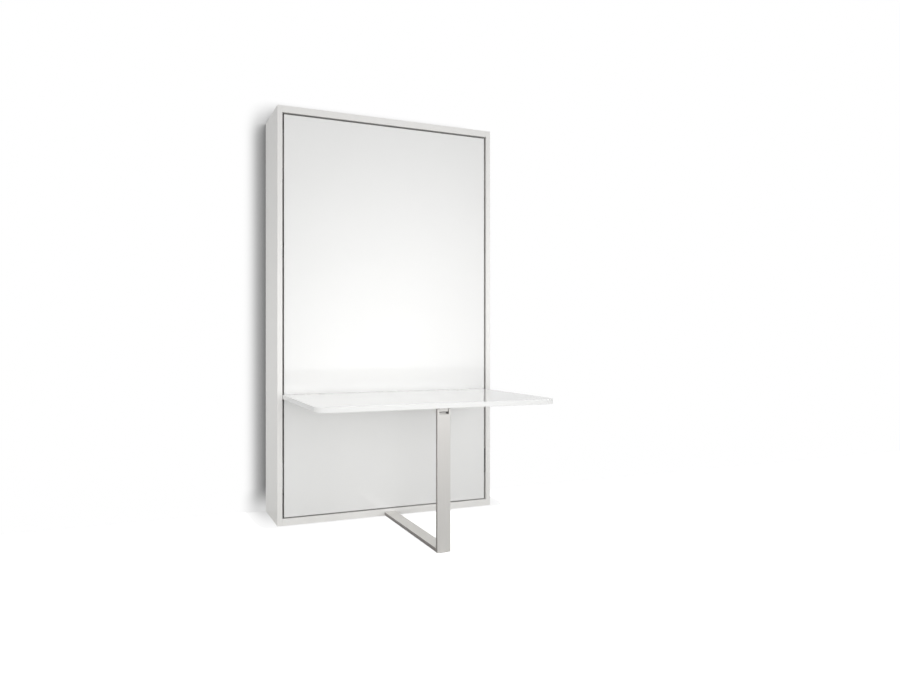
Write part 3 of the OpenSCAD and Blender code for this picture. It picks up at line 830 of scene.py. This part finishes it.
# %% Strap slides
slide_w, slide_h, slide_t = 44 * mm, 54 * mm, 4 * mm
window_place, window_half, window_h = 11 * mm, 6 * mm, strap_width + 2 * mm
for number, bottom in enumerate(strap_floors):
    middle, y = bottom + strap_width / 2, strap_high.y
    slide = block("strap_slide_%d" % number,
                  (-slide_w / 2, y - slide_t / 2, middle - slide_h / 2),
                  (slide_w / 2, y + slide_t / 2, middle + slide_h / 2))
    for x in (-window_place, window_place):
        cut_away(slide, block("window", (x - window_half, y - slide_t, middle - window_h / 2),
                              (x + window_half, y + slide_t, middle + window_h / 2)))
    soften(slide, 1.0 * mm, 2)
    finish_piece(slide, nylon, "bed", [])

# %% [markdown]
# The furniture is pictured on plain white: a white floor, and the white wall it is bolted to.
# Light that bounces off them meets an ordinary white paint. The eye meets a brighter white,
# so that both run into one clean background and only the deepest shade next to the furniture
# stays visible. What gloss mirrors of the wall is a third white, and the desk's right end
# shows it.

# %% White paint for the floor and the wall
def stage_white(name, shade, brighter, mirrored=None):
    material = bpy.data.materials.new(name)
    material.use_nodes = True
    tree = material.node_tree
    tree.nodes.clear()
    paint = add_node(tree, "ShaderNodeBsdfDiffuse", {"Color": hex_colour(shade)})
    seen = add_node(tree, "ShaderNodeLightPath")
    if mirrored:
        paint = add_node(tree, "ShaderNodeMixShader", {0: seen.outputs["Is Glossy Ray"],
                                                       1: paint.outputs[0], 2: mirrored(tree)})
    mix = add_node(tree, "ShaderNodeMixShader", {0: seen.outputs["Is Camera Ray"],
                                                 1: paint.outputs[0], 2: brighter(tree)})
    side = add_node(tree, "ShaderNodeNewGeometry")
    clear = add_node(tree, "ShaderNodeBsdfTransparent")
    one_way = add_node(tree, "ShaderNodeMixShader", {0: side.outputs["Backfacing"],
                                                     1: mix.outputs[0], 2: clear.outputs[0]})
    add_node(tree, "ShaderNodeOutputMaterial", {"Surface": one_way.outputs[0]})
    return material

def lit_white(tree):
    """White that the light falls on, so it keeps the deeper shadows."""
    lit = add_node(tree, "ShaderNodeBsdfDiffuse", {"Color": (1.6, 1.6, 1.6, 1)})
    glow = add_node(tree, "ShaderNodeEmission", {"Color": (1, 1, 1, 1), "Strength": 0.4})
    return add_node(tree, "ShaderNodeAddShader", {0: lit.outputs[0],
                                                  1: glow.outputs[0]}).outputs[0]

# %% [markdown]
# The cabinet shades the wall and the floor beside it. Both need to know how far a point is
# from the cabinet's sides, which its coordinates tell.

# %% How near the cabinet
def place_axes(tree):
    """A point's three coordinates."""
    place = add_node(tree, "ShaderNodeTexCoord").outputs["Object"]
    return add_node(tree, "ShaderNodeSeparateXYZ", {0: place}).outputs

def beside_cabinet(tree, full, none):
    """Full up to one distance from the cabinet's sides, and gone at the other."""
    out = add_node(tree, "ShaderNodeMath", {0: place_axes(tree)[0]}, operation="ABSOLUTE")
    return add_node(tree, "ShaderNodeMapRange", {"Value": out.outputs[0],
                                                 "From Min": cabinet_half + full,
                                                 "From Max": cabinet_half + none,
                                                 "To Min": 1.0, "To Max": 0.0},
                    interpolation_type="SMOOTHSTEP").outputs[0]

# %% [markdown]
# Where the cabinet meets the wall, the wall is shaded by it within about 150 mm. Ambient
# occlusion measures just that. The floor shades the wall too, all along its foot, so the
# effect is kept to the width near the cabinet's sides, and fades in over the lowest 160 mm.

# %% The wall's shade
def shaded_white(tree):
    """The wall's white, shaded near the cabinet."""
    shade = add_node(tree, "ShaderNodeAmbientOcclusion", {"Distance": 150 * mm}, samples=12)
    deep = add_node(tree, "ShaderNodeMath", {0: shade.outputs["AO"], 1: 2.5},
                    operation="POWER")
    near = beside_cabinet(tree, 40 * mm, 160 * mm)
    rise = add_node(tree, "ShaderNodeMapRange", {"Value": place_axes(tree)[2],
                                                 "From Max": 160 * mm, "To Min": 0.34},
                    interpolation_type="SMOOTHSTEP")
    share = add_node(tree, "ShaderNodeMath", {0: near, 1: rise.outputs[0]},
                     operation="MULTIPLY")
    level = add_node(tree, "ShaderNodeMix", {0: share.outputs[0], 2: 1.0, 3: deep.outputs[0]})
    return add_node(tree, "ShaderNodeEmission", {"Color": (1, 1, 1, 1),
                                                 "Strength": level.outputs[0]}).outputs[0]

# %% [markdown]
# The floor carries the rest of that shade on beside the cabinet, and it fades out forwards.
# In gloss, the wall gets paler from left to right, as the soft boxes light it.

# %% The floor's shade, and the mirrored wall
def carried_white(tree):
    """The floor's white, with the foot of the wall's shade beside the cabinet."""
    corner_level, fade_out = 0.62, 450 * mm
    near = beside_cabinet(tree, 0, 130 * mm)
    back = add_node(tree, "ShaderNodeMapRange", {"Value": place_axes(tree)[1],
                                                 "From Min": wall_y - fade_out,
                                                 "From Max": wall_y})
    share = add_node(tree, "ShaderNodeMath", {0: near, 1: back.outputs[0]},
                     operation="MULTIPLY")
    level = add_node(tree, "ShaderNodeMix", {0: share.outputs[0], 2: 1.0, 3: corner_level})
    shaded = add_node(tree, "ShaderNodeEmission", {"Color": (1, 1, 1, 1),
                                                   "Strength": level.outputs[0]})
    inside = add_node(tree, "ShaderNodeMapRange", {"Value": share.outputs[0],
                                                   "From Max": 0.05})
    return add_node(tree, "ShaderNodeMixShader", {0: inside.outputs[0], 1: lit_white(tree),
                                                  2: shaded.outputs[0]}).outputs[0]

def mirrored_white(tree):
    """What gloss mirrors of the wall, from dim on the left to pale on the right."""
    level = add_node(tree, "ShaderNodeMapRange", {"Value": place_axes(tree)[0],
                                                  "From Min": -cabinet_half,
                                                  "From Max": cabinet_half,
                                                  "To Min": 0.6, "To Max": 0.88})
    return add_node(tree, "ShaderNodeEmission", {"Color": (1, 1, 1, 1),
                                                 "Strength": level.outputs[0]}).outputs[0]

# %% [markdown]
# The wall is three sheets, left and right of the cabinet and above it, with none behind it.
# Seen from behind, both it and the floor are clear, so the cabinet's back stays in view.

# %% Floor and wall
cabinet_low, cabinet_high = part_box("side_board_left")
cabinet_half, wall_y, cabinet_top = -cabinet_low.x, cabinet_high.y, cabinet_high.z
white_floor = stage_white("white_painted_floor", "#E6E6E5", carried_white)
white_wall = stage_white("white_painted_wall", "#E6E6E5", shaded_white, mirrored_white)
reach, wall_height, floor_size = 9.0, 5.0, 40

wall_spans = [(-reach, -cabinet_half, 0), (cabinet_half, reach, 0),
              (-cabinet_half, cabinet_half, cabinet_top)]
wall_sheets = [upright_sheet("wall", x0, x1, wall_y, z0, wall_height)
               for x0, x1, z0 in wall_spans]
for sheet in wall_sheets:
    sheet.select_set(True)
bpy.ops.object.join()
wall = bpy.context.object
wall.data.materials.append(white_wall)
fresh()
bpy.ops.mesh.primitive_plane_add(size=floor_size, location=(0, 0, 0))
floor = bpy.context.object
floor.name = "floor"
floor.data.materials.append(white_floor)
print("wall faces:", len(wall.data.polygons), "at y", round(wall_y, 4))

# %% [markdown]
# The picture is taken from the left at desk-user height, 1.04 m, with the camera level, so
# that upright edges stay upright. The place and the lens were fitted to the corners of the
# cabinet and of the desk.

# %% Camera
eye, turned_right = (-1.3626, -3.8171, 1.0406), math.radians(23.377)
bpy.ops.object.camera_add(location=eye, rotation=(math.pi / 2, 0, -turned_right))
camera = bpy.context.object
camera.data.sensor_width = 36
camera.data.lens = 28.79
camera.data.shift_y = -0.0079
bpy.context.scene.camera = camera
print("camera at", eye, "with a lens of", camera.data.lens, "mm")

# %% [markdown]
# A white room gives most of the light, evenly from all sides. The eye sees it as plain white,
# and gloss and metal mirror it a little brighter, as they mirror the lamps of a studio.

# %% White room
world = bpy.data.worlds.new("even_white_room")
bpy.context.scene.world = world
world.use_nodes = True
tree = world.node_tree
tree.nodes.clear()
soft = add_node(tree, "ShaderNodeBackground", {"Color": (1, 1, 1, 1), "Strength": 0.68})
bright = add_node(tree, "ShaderNodeBackground", {"Color": (1, 1, 1, 1), "Strength": 1.8})
plain = add_node(tree, "ShaderNodeBackground", {"Color": (1, 1, 1, 1), "Strength": 1.0})
seen = add_node(tree, "ShaderNodeLightPath")
in_gloss = add_node(tree, "ShaderNodeMath", {0: seen.outputs["Is Glossy Ray"],
                                             1: seen.outputs["Is Transmission Ray"]},
                    operation="MAXIMUM")
gloss = add_node(tree, "ShaderNodeMixShader", {0: in_gloss.outputs[0], 1: soft.outputs[0],
                                               2: bright.outputs[0]})
room = add_node(tree, "ShaderNodeMixShader", {0: seen.outputs["Is Camera Ray"],
                                              1: gloss.outputs[0], 2: plain.outputs[0]})
add_node(tree, "ShaderNodeOutputWorld", {"Surface": room.outputs[0]})
print("room of", len(tree.nodes), "nodes:", world.name)

# %% [markdown]
# Five soft boxes model the shape, each behind a honeycomb that narrows its beam. A large one
# lights the front from the right, and a weak narrow one makes the panel brightest half-way up.
# Two low ones reach under the desk, from the front and from the left, and a faint one lights
# the cabinet's left side. The panel would mirror them as hard squares, so they are hidden
# from reflections.

# %% Soft boxes
def soft_box(name, place, target, size, beam, watts):
    bpy.ops.object.light_add(type="AREA", location=place)
    box = bpy.context.object
    box.name = name
    box.data.size = size
    box.data.spread = math.radians(beam)
    box.data.energy = watts
    box.visible_glossy = False
    box.rotation_euler = (Vector(target) - Vector(place)).to_track_quat("-Z", "Y").to_euler()
    print(name, "at", place)

# Name, place, where it aims, size in metres, beam in degrees, and watts.
soft_boxes = [
    ("soft_box_right", (1.9, -3.4, 1.45), (-0.1, 0.2, 1.25), 1.6, 62, 4.8),
    ("soft_box_middle", (0.5, -3.5, 1.3), (0.0, 0.2, 1.42), 1.0, 34, 0.65),
    ("soft_box_low", (-0.7, -3.3, 0.55), (0.05, 0.2, 0.4), 1.2, 50, 1.45),
    ("soft_box_low_left", (-2.8, -2.4, 0.5), (-0.1, 0.1, 0.4), 1.2, 50, 1.95),
    ("soft_box_left", (-3.6, -0.6, 1.45), (-0.66, 0.4, 1.12), 1.0, 48, 0.9),
]
for settings in soft_boxes:
    soft_box(*settings)

# %% [markdown]
# Colours are shown as they are written, with no film look.

# %% Colours as written
bpy.context.scene.view_settings.view_transform = "Standard"
